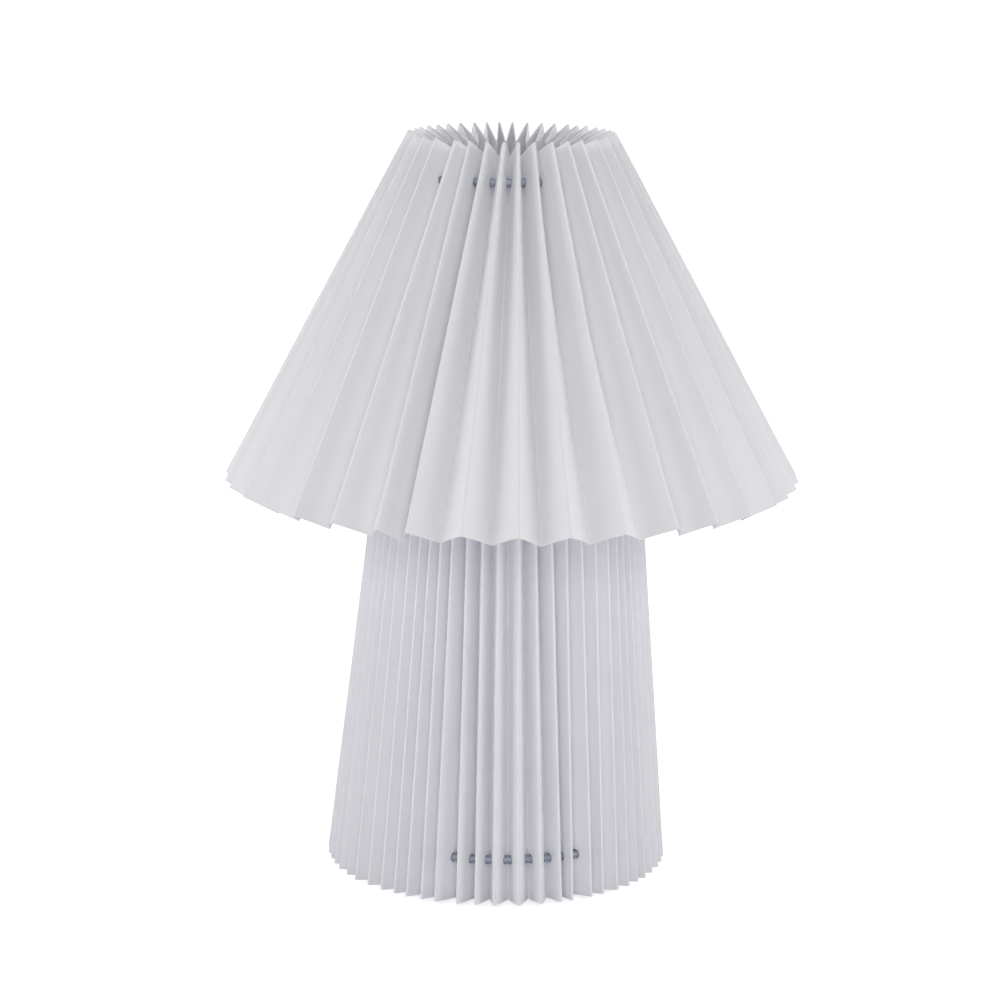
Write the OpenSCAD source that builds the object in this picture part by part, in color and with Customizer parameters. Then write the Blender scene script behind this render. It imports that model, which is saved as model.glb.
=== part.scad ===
// Table lamp with a pleated paper shade over a pleated paper base.
// Z is up, the lamp's axis is Z, its front is -Y and it stands on z = 0.
// Each pleated wall is one strip of equal panels, so its folds are straight and all of one
// length. The strip hangs on wire rings that run through holes punched in every panel.

/* [Shade] */
// Diameter across the outer folds at the shade's rim
shade_d = 300; // [284:2:316]
// Diameter across the outer folds at the shade's top
shade_top_d = 107; // [100:1:116]
// Length of one fold of the shade
shade_fold_l = 203; // [193:1:211]
// Height of the outer folds' lower ends over the table
shade_rim_z = 208; // [200:1:216]
// Width of one panel of the shade, from fold to fold
shade_panel_w = 20; // [18.5:0.5:21.5]
// Number of pleats round the shade
shade_pleats_n = 42; // [36:6:48]
// Distance of the shade's punched holes from its top edge
shade_hole_edge = 16; // [13:1:22]
// Distance of the shade's punched holes from the outer fold
shade_hole_in = 14; // [12:0.5:15]

/* [Base skirt] */
// Diameter across the outer folds at the foot of the skirt
skirt_d = 180; // [172:2:188]
// Diameter across the outer folds at the skirt's top
skirt_top_d = 136; // [130:2:142]
// Length of one fold of the skirt
skirt_fold_l = 228; // [216:2:236]
// Height of the outer folds' lower ends over the table
skirt_foot_z = 2.5; // [2:0.5:5]
// Width of one panel of the skirt, from fold to fold
skirt_panel_w = 15; // [14:0.5:16]
// Number of pleats round the skirt
skirt_pleats_n = 60; // [54:6:66]
// Distance of the skirt's punched holes from its edges
skirt_hole_edge = 21.5; // [19:0.5:26]
// Distance of the skirt's punched holes from the outer fold
skirt_hole_in = 10.4; // [9:0.2:11]
// Width of the notch for the cord at the back of the skirt
notch_w = 11; // [9:1:13]

/* [Paper] */
// Thickness of the laminated paper
paper_t = 0.5; // [0.4:0.05:0.6]
// Width of the pressed edge along each fold
fold_w = 0.7; // [0.5:0.05:0.8]

/* [Wire] */
// Thickness of the ring wire
ring_wire_d = 4; // [3.4:0.2:4.4]
// Thickness of the wire of the arms and spokes
arm_wire_d = 2.6; // [2.2:0.2:3]
// Wall of the saddles that hold the rings
saddle_wall = 0.9; // [0.6:0.1:1.1]

/* [Foot] */
// Diameter of the weighted plate
plate_d = 126; // [116:2:134]
// Thickness of the weighted plate
plate_h = 14; // [13:0.5:16]
// Rounding of the plate's upper edge
plate_round = 3; // [1:0.5:4]
// Diameter of the recess under the plate
recess_d = 36; // [32:1:44]
// Depth of the recess under the plate
recess_h = 10; // [9:0.5:11]
// Diameter of a foot pad
pad_d = 18; // [14:1:20]
// Height of a foot pad
pad_h = 3; // [2:0.5:4]
// Distance of the foot pads from the lamp's axis
pad_r = 46; // [40:1:48]
// Bore of the bush that the cord passes
bush_bore_d = 6.4; // [6:0.2:7]
// Outer diameter of the bush
bush_d = 9; // [8.6:0.2:9.4]
// Length of the bush inside the plate
bush_l = 10; // [8:1:14]

/* [Stem] */
// Outer diameter of the stem tube
stem_d = 10; // [9:0.5:11]
// Bore of the stem tube
stem_bore_d = 8; // [6.5:0.5:8]
// Size of the stem's nuts across their flats
nut_af = 14; // [13:0.5:16]
// Thickness of the stem's nuts
nut_h = 3; // [2.5:0.5:4]
// Thickness of the sheet steel hubs and of the washer
hub_t = 1.5; // [1:0.25:2]
// Diameter of the hubs that carry the spokes
hub_d = 32; // [28:1:34]

/* [Lampholder] */
// Height of the lampholder's lower end over the table
holder_z = 225; // [220:1:229]
// Diameter of the lampholder's threaded upper part
holder_d = 40; // [39:0.5:41]
// Diameter of the lampholder's grip
grip_d = 43; // [42.5:0.5:45]
// Height of the domed cap
cap_h = 18; // [16:1:20]
// Height of the grip
grip_h = 12; // [10:1:14]
// Height of the threaded upper part
collar_h = 28; // [26:1:30]
// Wall of the lampholder's mouldings
holder_wall = 2.2; // [1.8:0.1:2.4]
// Outer diameter of the nut that clamps the shade
nut_ring_d = 52; // [50:1:54]
// Height of that nut
nut_ring_h = 7; // [6:0.5:9]

/* [Shade carrier] */
// Outer diameter of the carrier's seat ring
seat_d = 64; // [62:1:68]
// Thickness of the seat ring
seat_t = 1.2; // [1:0.1:2]

/* [Bulb] */
// Diameter of the globe
globe_d = 60; // [55:1:62]
// Length of the bulb from its contact to its top
bulb_l = 105; // [102:1:108]
// Diameter of the screw cap over its thread
screw_d = 26.2; // [26:0.1:26.4]
// Pitch of the screw thread
screw_pitch = 3.63; // [3.4:0.01:3.8]
// Thickness of the globe's wall
globe_t = 1.2; // [0.8:0.1:1.6]

/* [Clearances] */
// Radial room of the rings in the punched holes
hole_clear = 0.25; // [0.15:0.05:0.4]
// Room between pieces that are slid or screwed together
fit_clear = 0.1; // [0.08:0.01:0.15]
// Room between pieces that come apart
part_clear = 0.3; // [0.25:0.05:0.4]

/* [Hidden] */
round_fn = 96;
small_fn = 32;
arm_angles = [90, 210, 330];

// A pleated strip is [foot radius, top radius, fold length, foot height, pleats, panel width].
shade_strip = [shade_d / 2, shade_top_d / 2, shade_fold_l, shade_rim_z, shade_pleats_n,
    shade_panel_w];
skirt_strip = [skirt_d / 2, skirt_top_d / 2, skirt_fold_l, skirt_foot_z, skirt_pleats_n,
    skirt_panel_w];

// Lean of a strip's folds from upright
function lean(strip) = asin((strip[0] - strip[1]) / strip[2]);
// Radius and height of the outer fold at a distance along it from its foot
function fold_r(strip, along) = strip[0] - along * sin(lean(strip));
function fold_z(strip, along) = strip[3] + along * cos(lean(strip));
// Depth of the pleats there, square to the fold, that keeps the panels at their cut width
function pleat_depth(strip, along) =
    let (r = fold_r(strip, along),
        bend = 1 - cos(180 / strip[4]),
        half = r * cos(lean(strip)) * bend)
    half + sqrt(half * half + strip[5] * strip[5] - 2 * r * r * bend);
// Point of a strip at a turn about the axis, at a depth from the outer fold
function strip_point(strip, along, depth, side, turn) =
    let (r = fold_r(strip, along) - depth * cos(lean(strip)),
        z = fold_z(strip, along) - depth * sin(lean(strip)))
    [r * cos(turn) - side * sin(turn), r * sin(turn) + side * cos(turn), z];
// Half the distance between neighbouring outer and inner folds, measured round the axis
function half_pitch(strip, along) =
    (fold_r(strip, along) - pleat_depth(strip, along) / 2) * sin(180 / strip[4]);
// Depth of the paper at a pressed fold
function fold_depth(strip, along) =
    (paper_t * strip[5] - fold_w / 2 * pleat_depth(strip, along))
        / (half_pitch(strip, along) - fold_w);
// Six points of one pleat: outer fold, outer valley, then inner fold and inner valley
function pleat_points(strip, along, turn) =
    let (step = 180 / strip[4],
        depth = pleat_depth(strip, along),
        skin = fold_depth(strip, along))
    [strip_point(strip, along, 0, -fold_w / 2, turn),
        strip_point(strip, along, 0, fold_w / 2, turn),
        strip_point(strip, along, depth - skin, 0, turn + step),
        strip_point(strip, along, skin, 0, turn),
        strip_point(strip, along, depth, -fold_w / 2, turn + step),
        strip_point(strip, along, depth, fold_w / 2, turn + step)];
// Place of a ring's wire: its radius and height, from the holes' place in the panels
function ring_place(strip, along, hole_in) =
    let (depth = hole_in / strip[5] * pleat_depth(strip, along))
    [fold_r(strip, along) - depth * cos(lean(strip)), fold_z(strip, along) - depth * sin(lean(strip))];
// Half the room between two panels where the ring runs, inside an outer fold
function inner_pocket(strip, along, hole_in) =
    let (valley_r = fold_r(strip, along) - pleat_depth(strip, along) * cos(lean(strip)))
    hole_in / strip[5] * valley_r * sin(180 / strip[4])
        - paper_t / 2 / cos(asin(half_pitch(strip, along) / strip[5]));
// Turn about the axis from an outer fold to where the ring goes through the panel beside it
function crossing(strip, along, hole_in) =
    let (valley_r = fold_r(strip, along) - pleat_depth(strip, along) * cos(lean(strip)))
    asin(hole_in / strip[5] * valley_r * sin(180 / strip[4]) / ring_place(strip, along, hole_in)[0]);

// The rings: place, then lengths of the saddles that hold them inside the outer folds
shade_ring_along = shade_fold_l - shade_hole_edge;
upper_ring_along = skirt_fold_l - skirt_hole_edge;
lower_ring_along = skirt_hole_edge;
shade_ring_at = ring_place(shade_strip, shade_ring_along, shade_hole_in);
upper_ring_at = ring_place(skirt_strip, upper_ring_along, skirt_hole_in);
lower_ring_at = ring_place(skirt_strip, lower_ring_along, skirt_hole_in);
ring_wire_r = ring_wire_d / 2;
arm_wire_r = arm_wire_d / 2;
saddle_r = ring_wire_r + fit_clear + saddle_wall;
shade_saddle_l = 2 * (inner_pocket(shade_strip, shade_ring_along + saddle_r, shade_hole_in) - part_clear);
upper_saddle_l = 2 * (inner_pocket(skirt_strip, upper_ring_along + saddle_r, skirt_hole_in) - part_clear);
lower_saddle_l = 2 * (inner_pocket(skirt_strip, lower_ring_along + saddle_r, skirt_hole_in) - part_clear);
joint_gap = 0.6;
// Stations along the folds: the panels wind a little, so they are drawn true where the rings run
shade_steps = 4;
shade_stations = [for (i = [0:shade_steps]) shade_ring_along * i / shade_steps, shade_fold_l];
skirt_stations = [0, lower_ring_along, upper_ring_along, skirt_fold_l];
// The shade's arms and its ring's joint stand one fold round from those of the skirt
shade_arm_turn = -360 / shade_pleats_n;
hole_r = ring_wire_r + hole_clear;
punch_spare = 0.1;

// Heights in the foot and on the stem
plate_top = pad_h + plate_h;
recess_top = pad_h + recess_h;
stem_r = stem_d / 2;
stem_spare = 0.6;
stem_end = recess_top - hub_t - nut_h - stem_spare;
upper_hub_z = holder_z - hub_t;
bush_z = pad_h + plate_h / 2;
bush_flange_w = 1.5;
bush_flange_t = 2;
weld_sink = 0.35;

// Heights and radii in the lampholder
grip_r = grip_d / 2;
holder_r = holder_d / 2;
neck_h = 9;
neck_wall = 3;
cap_top = holder_z + cap_h;
core_h = 8;
core_top = cap_top + core_h;
core_r = grip_r - holder_wall - fit_clear;
seat_z = cap_top + grip_h;
holder_top = seat_z + collar_h;
terminal_r = 11;
terminal_screw_r = 1.5;
terminal_screw_l = 5;
screw_sheet_t = 0.5;
screw_shell_l = 27;
contact_t = 1;

// Heights and radii in the shade's carrier and its nut
seat_low = seat_z + part_clear;
seat_top = seat_low + seat_t;
nut_ring_z = seat_top + part_clear;
arm_start_r = nut_ring_d / 2 + part_clear + arm_wire_r;

// Heights and radii in the bulb, over its contact
bulb_z = core_top + contact_t + part_clear;
screw_r = screw_d / 2;
tip_h = 1.6;
tip_r = 4;
insulator_h = 4.4;
screw_low = tip_h + insulator_h;
screw_h = 20;
screw_wave = 0.45;
plug_r = screw_r - 2 * screw_wave - 2 * screw_sheet_t;
plug_h = 5;
globe_r = globe_d / 2;
globe_mid = bulb_l - globe_r;
globe_cut = 30;

// A closed pleated wall, drawn between stations along its folds
module pleated_wall(strip, stations) {
    n = strip[4];
    rows = len(stations) - 1;
    points = [for (along = stations) for (i = [0:n - 1])
        each pleat_points(strip, along, i * 360 / n - 90)];
    // Number of a point: place 0 to 2 is the outside of a pleat, 3 to 5 its inside
    function at(row, i, place) = row * 6 * n + (i % n) * 6 + place;
    function outside(row, m) = at(row, floor(m / 3), m % 3);
    function inside(row, m) = at(row, floor(m / 3), 3 + m % 3);
    walls = [for (row = [0:rows - 1]) for (m = [0:3 * n - 1]) each [
        [outside(row, m), outside(row + 1, m), outside(row + 1, m + 1)],
        [outside(row, m), outside(row + 1, m + 1), outside(row, m + 1)],
        [inside(row, m), inside(row + 1, m + 1), inside(row + 1, m)],
        [inside(row, m), inside(row, m + 1), inside(row + 1, m + 1)]]];
    function edge(row, i) = [
        [at(row, i, 0), at(row, i, 3), at(row, i, 1)],
        [at(row, i, 1), at(row, i, 3), at(row, i, 4)],
        [at(row, i, 1), at(row, i, 4), at(row, i, 2)],
        [at(row, i, 2), at(row, i, 4), at(row, i, 5)],
        [at(row, i, 2), at(row, i, 5), at(row, i + 1, 3)],
        [at(row, i, 2), at(row, i + 1, 3), at(row, i + 1, 0)]];
    top_edge = [for (i = [0:n - 1]) each edge(rows, i)];
    foot_edge = [for (i = [0:n - 1]) for (face = edge(0, i)) [face[2], face[1], face[0]]];
    polyhedron(points, concat(walls, top_edge, foot_edge));
}

// A round bar bent into a ring: at is its radius and height, gap what its joint leaves open
module wire_ring(at, wire_r, gap) {
    open_angle = gap / at[0] * 180 / PI;
    rotate([0, 0, open_angle / 2])
        rotate_extrude(angle = 360 - open_angle, $fn = round_fn)
            translate(at)
                circle(r = wire_r, $fn = small_fn);
}

// One punched hole through every panel of a strip, at a distance along it, no longer than it
// takes to pass the slanting panel
module punched_holes(strip, along, hole_in) {
    at = ring_place(strip, along, hole_in);
    slant = asin(half_pitch(strip, along) / strip[5]);
    punch_l = 2 * hole_r * tan(slant) + paper_t / cos(slant) + 2 * punch_spare;
    for (i = [0:strip[4] - 1])
        for (side = [-1, 1])
            rotate([0, 0, i * 360 / strip[4] - 90 + side * crossing(strip, along, hole_in)])
                translate([at[0], 0, at[1]])
                    rotate([90, 0, 0])
                        cylinder(r = hole_r, h = punch_l, center = true, $fn = small_fn);
}

// The round channel that a ring runs in
module ring_channel(at, wire_r) {
    rotate_extrude($fn = round_fn)
        translate(at)
            circle(r = wire_r, $fn = small_fn);
}

// A ring whose ends meet in the saddle of the back arm, turned with the arms
module jointed_ring(at, turned) {
    rotate([0, 0, arm_angles[0] + turned])
        wire_ring(at, ring_wire_r, joint_gap);
}

// A straight piece of wire between two points in the upright plane of one arm
module arm_rod(from, to, wire_r) {
    run = to - from;
    translate([from[0], 0, from[1]])
        rotate([0, atan2(run[0], run[1]), 0])
            cylinder(r = wire_r, h = norm(run), $fn = small_fn);
}

// Half of a short tube, open away from the lamp's axis, brazed to the inside of a ring
module saddle(saddle_l, tilt) {
    rotate([0, -tilt, 0])
        difference() {
            rotate([90, 0, 0])
                cylinder(r = saddle_r, h = saddle_l, center = true, $fn = small_fn);
            translate([0, -saddle_l, -saddle_r])
                cube([saddle_r, 2 * saddle_l, 2 * saddle_r]);
        }
}

// Three arms from a radius and height to the saddles of a strip's ring
module arms(start, ring_at, saddle_l, strip, turned) {
    difference() {
        for (angle = arm_angles)
            rotate([0, 0, angle + turned]) {
                arm_rod(start, ring_at, arm_wire_r);
                translate([ring_at[0], 0, ring_at[1]])
                    saddle(saddle_l, lean(strip));
            }
        ring_channel(ring_at, ring_wire_r + fit_clear);
    }
}

// A flat ring
module washer(outer_r, inner_r, h) {
    difference() {
        cylinder(r = outer_r, h = h, $fn = round_fn);
        translate([0, 0, -1])
            cylinder(r = inner_r, h = h + 2, $fn = round_fn);
    }
}

// A hexagon nut with its corners turned off on both faces
module hex_nut() {
    corner_r = nut_af / sqrt(3);
    turned = (corner_r - nut_af / 2) / 2;
    difference() {
        intersection() {
            cylinder(r = corner_r, h = nut_h, $fn = 6);
            rotate_extrude($fn = round_fn)
                polygon([[0, 0], [nut_af / 2, 0], [corner_r, turned], [corner_r, nut_h - turned],
                    [nut_af / 2, nut_h], [0, nut_h]]);
        }
        translate([0, 0, -1])
            cylinder(r = stem_r + fit_clear / 2, h = nut_h + 2, $fn = round_fn);
    }
}

// Points of a rounded corner, from one angle to another
function arc(centre, r, from, to, n) =
    [for (i = [0:n]) centre + r * [cos(from + (to - from) * i / n), sin(from + (to - from) * i / n)]];
// Points up a rolled screw thread, seen as waves
function waves(r, low, h) =
    let (n = floor(h / screw_pitch) * 8)
    [for (i = [0:n]) [r - screw_wave + screw_wave * cos(360 * i / 8), low + h * i / n]];

module shade_pleats() {
    color([0.93, 0.93, 0.95])
        difference() {
            pleated_wall(shade_strip, shade_stations);
            punched_holes(shade_strip, shade_ring_along, shade_hole_in);
        }
}

module shade_ring() {
    color([0.36, 0.38, 0.43])
        jointed_ring(shade_ring_at, shade_arm_turn);
}

// Seat ring with three arms that rise round the bulb to the ring in the pleats
module shade_carrier() {
    color([0.88, 0.88, 0.88]) {
        translate([0, 0, seat_low])
            washer(seat_d / 2, holder_r + part_clear, seat_t);
        arms([arm_start_r, seat_top - weld_sink], shade_ring_at, shade_saddle_l,
            shade_strip, shade_arm_turn);
    }
}

// Ring nut that clamps the carrier's seat ring, with grip hollows round it
module shade_nut() {
    grip_n = 24;
    grip_hollow_r = 1.5;
    edge = 1;
    outer = nut_ring_d / 2;
    inner = holder_r + part_clear;
    color([0.92, 0.92, 0.9])
        difference() {
            translate([0, 0, nut_ring_z])
                rotate_extrude($fn = round_fn)
                    polygon([[inner, 0], [outer, 0], [outer, nut_ring_h - edge],
                        [outer - edge, nut_ring_h], [inner, nut_ring_h]]);
            for (i = [0:grip_n - 1])
                rotate([0, 0, i * 360 / grip_n])
                    translate([outer + edge / 2, 0, nut_ring_z - 1])
                        cylinder(r = grip_hollow_r, h = nut_ring_h + 2, $fn = small_fn);
        }
}

module bulb_globe() {
    color([0.96, 0.96, 0.93])
        translate([0, 0, bulb_z])
            rotate_extrude($fn = round_fn)
                polygon(concat(
                    arc([0, globe_mid], globe_r, -globe_cut, 90, 24),
                    arc([0, globe_mid], globe_r - globe_t, 90, -globe_cut, 24)));
}

// Housing between the screw cap and the globe, widening in one soft curve
module bulb_collar() {
    low = screw_low + screw_h;
    high = globe_mid - globe_r * sin(globe_cut);
    wide = globe_r * cos(globe_cut);
    narrow = screw_r + part_clear;
    step_h = 1;
    n = 16;
    color([0.9, 0.9, 0.88])
        translate([0, 0, bulb_z])
            rotate_extrude($fn = round_fn)
                polygon(concat(
                    [[0, screw_low + plug_h], [plug_r - fit_clear, screw_low + plug_h],
                        [plug_r - fit_clear, low], [narrow, low], [narrow, low + step_h]],
                    [for (i = [1:n]) [narrow + (wide - narrow) * (1 - cos(180 * i / n)) / 2,
                        low + step_h + (high - low - step_h) * i / n]],
                    [[0, high]]));
}

module bulb_screw_cap() {
    plain_h = 1;
    color([0.78, 0.78, 0.76])
        translate([0, 0, bulb_z])
            rotate_extrude($fn = round_fn)
                polygon(concat(
                    [[plug_r, screw_low], [screw_r - 2 * screw_wave, screw_low]],
                    waves(screw_r, screw_low + plain_h, screw_h - 2 * plain_h),
                    [[screw_r, screw_low + screw_h], [plug_r, screw_low + screw_h]]));
}

// Dark glass between the screw cap and the bulb's contact
module bulb_insulator() {
    neck = tip_r + 0.5;
    color([0.12, 0.12, 0.14])
        translate([0, 0, bulb_z])
            rotate_extrude($fn = round_fn)
                polygon([[0, tip_h], [neck, tip_h], [screw_r - 2 * screw_wave, screw_low],
                    [plug_r - fit_clear, screw_low], [plug_r - fit_clear, screw_low + plug_h],
                    [0, screw_low + plug_h]]);
}

// Soldered contact, a low button with a rounded face
module bulb_contact() {
    face_r = 2.6;
    side_r = 3.8;
    color([0.75, 0.72, 0.66])
        translate([0, 0, bulb_z])
            rotate_extrude($fn = round_fn)
                polygon([[0, 0], [face_r, 0], [side_r, tip_h / 2], [tip_r, tip_h], [0, tip_h]]);
}

// Outer shell of the lampholder: fluted grip, step for the carrier and threaded upper part
module lampholder_shell() {
    flute_n = 30;
    flute_r = 0.8;
    color([0.93, 0.93, 0.91])
        difference() {
            rotate_extrude($fn = round_fn)
                polygon([[grip_r - holder_wall, cap_top], [grip_r, cap_top], [grip_r, seat_z],
                    [holder_r, seat_z], [holder_r, holder_top], [holder_r - holder_wall, holder_top],
                    [holder_r - holder_wall, core_top], [grip_r - holder_wall, core_top]]);
            for (i = [0:flute_n - 1])
                rotate([0, 0, i * 360 / flute_n])
                    translate([grip_r + flute_r / 2, 0, cap_top - 1])
                        cylinder(r = flute_r, h = grip_h, $fn = small_fn);
        }
}

// Domed lower half of the lampholder, screwed on the stem
module lampholder_cap() {
    inner = stem_r + fit_clear / 2;
    dome_r = 12;
    band_h = 4;
    dome_h = cap_h - band_h;
    ledge_w = 1.6;
    hollow_r = core_r - ledge_w;
    n = 12;
    color([0.93, 0.93, 0.91])
        translate([0, 0, holder_z])
            rotate_extrude($fn = round_fn)
                polygon(concat(
                    [[inner, 0]],
                    [for (i = [0:n]) [dome_r + (grip_r - dome_r) * sin(90 * i / n),
                        dome_h * (1 - cos(90 * i / n))]],
                    [[grip_r, cap_h], [hollow_r, cap_h]],
                    [for (i = [n:-1:0]) [dome_r + (hollow_r - dome_r) * sin(90 * i / n),
                        holder_wall + (dome_h - holder_wall) * (1 - cos(90 * i / n))]],
                    [[inner + neck_wall, holder_wall], [inner + neck_wall, neck_h], [inner, neck_h]]));
}

// Insulating disc that carries the contacts, held between the cap and the shell's ledge
module lampholder_core() {
    color([0.9, 0.89, 0.84])
        difference() {
            translate([0, 0, cap_top])
                cylinder(r = core_r, h = core_h, $fn = round_fn);
            for (side = [-1, 1])
                translate([side * terminal_r, 0, cap_top - 1])
                    cylinder(r = terminal_screw_r + fit_clear, h = terminal_screw_l + 2,
                        $fn = small_fn);
        }
}

module screw_shell() {
    inner = screw_r + part_clear;
    outer = inner + screw_sheet_t + 2 * screw_wave;
    lip_r = 9;
    plain_h = 2;
    color([0.8, 0.72, 0.45])
        translate([0, 0, core_top])
            rotate_extrude($fn = round_fn)
                polygon(concat(
                    [[lip_r, 0], [outer - 2 * screw_wave, 0]],
                    waves(outer, plain_h, screw_shell_l - plain_h),
                    [[inner, screw_shell_l], [inner, screw_sheet_t], [lip_r, screw_sheet_t]]));
}

// Springy strip under the bulb's contact
module centre_contact() {
    button_r = 3;
    tongue_l = 8;
    tongue_w = 4;
    color([0.8, 0.72, 0.45])
        translate([0, 0, core_top]) {
            cylinder(r = button_r, h = contact_t, $fn = small_fn);
            translate([-tongue_l, -tongue_w / 2, 0])
                cube([tongue_l, tongue_w, contact_t / 2]);
        }
}

// Strip that feeds the screw shell, beside it
module side_contact() {
    strip_t = 0.6;
    strip_w = 5;
    strip_h = 10;
    outer = screw_r + part_clear + screw_sheet_t + 2 * screw_wave;
    color([0.8, 0.72, 0.45])
        translate([outer + fit_clear, -strip_w / 2, core_top])
            cube([strip_t, strip_w, strip_h]);
}

module terminal_screws() {
    head_r = 2.6;
    head_h = 1.8;
    color([0.8, 0.72, 0.45])
        for (side = [-1, 1])
            translate([side * terminal_r, 0, cap_top - head_h]) {
                cylinder(r = head_r, h = head_h, $fn = small_fn);
                cylinder(r = terminal_screw_r, h = head_h + terminal_screw_l, $fn = small_fn);
            }
}

module stem_tube() {
    color([0.8, 0.8, 0.8])
        translate([0, 0, stem_end])
            washer(stem_r, stem_bore_d / 2, holder_z + neck_h - stem_end);
}

module upper_stem_nut() {
    color([0.75, 0.75, 0.76])
        translate([0, 0, upper_hub_z - nut_h])
            hex_nut();
}

// Hub under the lampholder with three spokes down to the upper ring
module upper_spider() {
    spoke_z = upper_hub_z - arm_wire_r + weld_sink;
    color([0.85, 0.85, 0.85]) {
        translate([0, 0, upper_hub_z])
            washer(hub_d / 2, stem_r + fit_clear, hub_t);
        arms([hub_d / 2 - 2 * arm_wire_r, spoke_z], upper_ring_at, upper_saddle_l,
            skirt_strip, 0);
    }
}

module upper_ring() {
    color([0.36, 0.38, 0.43])
        jointed_ring(upper_ring_at, 0);
}

// Pleated skirt with its two rows of punched holes and a notch for the cord at the back
module base_skirt() {
    color([0.88, 0.88, 0.92])
        difference() {
            pleated_wall(skirt_strip, skirt_stations);
            punched_holes(skirt_strip, upper_ring_along, skirt_hole_in);
            punched_holes(skirt_strip, lower_ring_along, skirt_hole_in);
            translate([0, skirt_d / 2 - skirt_panel_w * 1.5, bush_z])
                rotate([-90, 0, 0])
                    cylinder(d = notch_w, h = skirt_panel_w * 2, $fn = small_fn);
            translate([-notch_w / 2, skirt_d / 2 - skirt_panel_w * 1.5, 0])
                cube([notch_w, skirt_panel_w * 2, bush_z]);
        }
}

module lower_ring() {
    color([0.36, 0.38, 0.43])
        jointed_ring(lower_ring_at, 0);
}

// Hub on the plate with three spokes out to the lower ring
module lower_spider() {
    spoke_z = plate_top + hub_t + arm_wire_r - weld_sink;
    color([0.85, 0.85, 0.85]) {
        translate([0, 0, plate_top])
            washer(hub_d / 2, stem_r + fit_clear, hub_t);
        arms([hub_d / 2 - 2 * arm_wire_r, spoke_z], lower_ring_at, lower_saddle_l,
            skirt_strip, 0);
    }
}

module plate_nut() {
    color([0.75, 0.75, 0.76])
        translate([0, 0, plate_top + hub_t])
            hex_nut();
}

// Weighted plate: recess for the nut below and one drilling for the bush and the cord's way out
module base_plate() {
    plate_r = plate_d / 2;
    chamfer = 1;
    color([0.3, 0.3, 0.32])
        difference() {
            translate([0, 0, pad_h])
                rotate_extrude($fn = round_fn)
                    polygon(concat(
                        [[0, 0], [plate_r - chamfer, 0], [plate_r, chamfer]],
                        arc([plate_r - plate_round, plate_h - plate_round], plate_round, 0, 90, 8),
                        [[0, plate_h]]));
            translate([0, 0, pad_h - 1])
                cylinder(r = recess_d / 2, h = recess_h + 1, $fn = round_fn);
            translate([0, 0, pad_h])
                cylinder(r = stem_r + fit_clear, h = plate_h + 1, $fn = round_fn);
            translate([0, recess_d / 2 - bush_d / 2, bush_z])
                rotate([-90, 0, 0])
                    cylinder(d = bush_d + 2 * fit_clear, h = plate_r, $fn = small_fn);
        }
}

module stem_washer() {
    color([0.75, 0.75, 0.76])
        translate([0, 0, recess_top - hub_t])
            washer(stem_d, stem_r + fit_clear, hub_t);
}

module stem_end_nut() {
    color([0.75, 0.75, 0.76])
        translate([0, 0, recess_top - hub_t - nut_h])
            hex_nut();
}

// Flanged bush that the cord leaves through
module cable_bush() {
    color([0.9, 0.9, 0.9])
        translate([0, plate_d / 2 - bush_l, bush_z])
            rotate([-90, 0, 0])
                difference() {
                    union() {
                        cylinder(d = bush_d, h = bush_l, $fn = round_fn);
                        translate([0, 0, bush_l])
                            cylinder(d = bush_d + 2 * bush_flange_w, h = bush_flange_t,
                                $fn = round_fn);
                    }
                    translate([0, 0, -1])
                        cylinder(d = bush_bore_d, h = bush_l + bush_flange_t + 2, $fn = round_fn);
                }
}

module foot_pads() {
    color([0.35, 0.35, 0.36])
        for (i = [0:3])
            rotate([0, 0, 45 + 90 * i])
                translate([pad_r, 0, 0])
                    cylinder(d = pad_d, h = pad_h, $fn = round_fn);
}

shade_pleats();
shade_ring();
shade_carrier();
shade_nut();
bulb_globe();
bulb_collar();
bulb_screw_cap();
bulb_insulator();
bulb_contact();
lampholder_shell();
lampholder_cap();
lampholder_core();
screw_shell();
centre_contact();
side_contact();
terminal_screws();
stem_tube();
upper_stem_nut();
upper_spider();
upper_ring();
base_skirt();
lower_ring();
lower_spider();
plate_nut();
base_plate();
stem_washer();
stem_end_nut();
cable_bush();
foot_pads();
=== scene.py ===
# Table lamp with a pleated paper shade over a pleated paper base.
# Metres, Z up, front towards -Y. Turns are degrees from the front, positive to the right.
import math
import random

import bmesh
import bpy
from mathutils import Matrix, Vector


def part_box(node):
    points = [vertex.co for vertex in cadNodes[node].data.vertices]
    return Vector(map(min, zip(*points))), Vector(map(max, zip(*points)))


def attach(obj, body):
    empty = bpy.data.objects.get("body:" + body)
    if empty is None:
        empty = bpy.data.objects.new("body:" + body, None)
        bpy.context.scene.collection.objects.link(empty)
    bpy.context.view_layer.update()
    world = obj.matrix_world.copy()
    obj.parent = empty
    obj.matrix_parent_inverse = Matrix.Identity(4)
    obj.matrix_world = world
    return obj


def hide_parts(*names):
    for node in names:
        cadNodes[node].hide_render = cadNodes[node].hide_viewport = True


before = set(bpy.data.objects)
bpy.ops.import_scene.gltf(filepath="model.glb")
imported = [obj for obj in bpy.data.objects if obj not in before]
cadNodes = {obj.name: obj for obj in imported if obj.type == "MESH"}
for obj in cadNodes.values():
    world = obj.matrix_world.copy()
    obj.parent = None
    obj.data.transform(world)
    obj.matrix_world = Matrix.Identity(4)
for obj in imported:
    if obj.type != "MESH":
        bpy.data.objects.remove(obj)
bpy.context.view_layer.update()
scene = bpy.context.scene
print("frame loaded:", len(cadNodes), "nodes")


# Camera at the photograph's viewing angle
cameraSettings = {
    "distance": 1.4977,  # in front of the lamp's axis
    "height": 0.5145,
    "aside": -0.0017,
    "pitch": 12.06,  # looking down
    "roll": 0.58,
    "lens": 104.9,
    "sensor": 36.0,
    "farthest": 60,  # what lies beyond is not drawn
}


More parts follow.
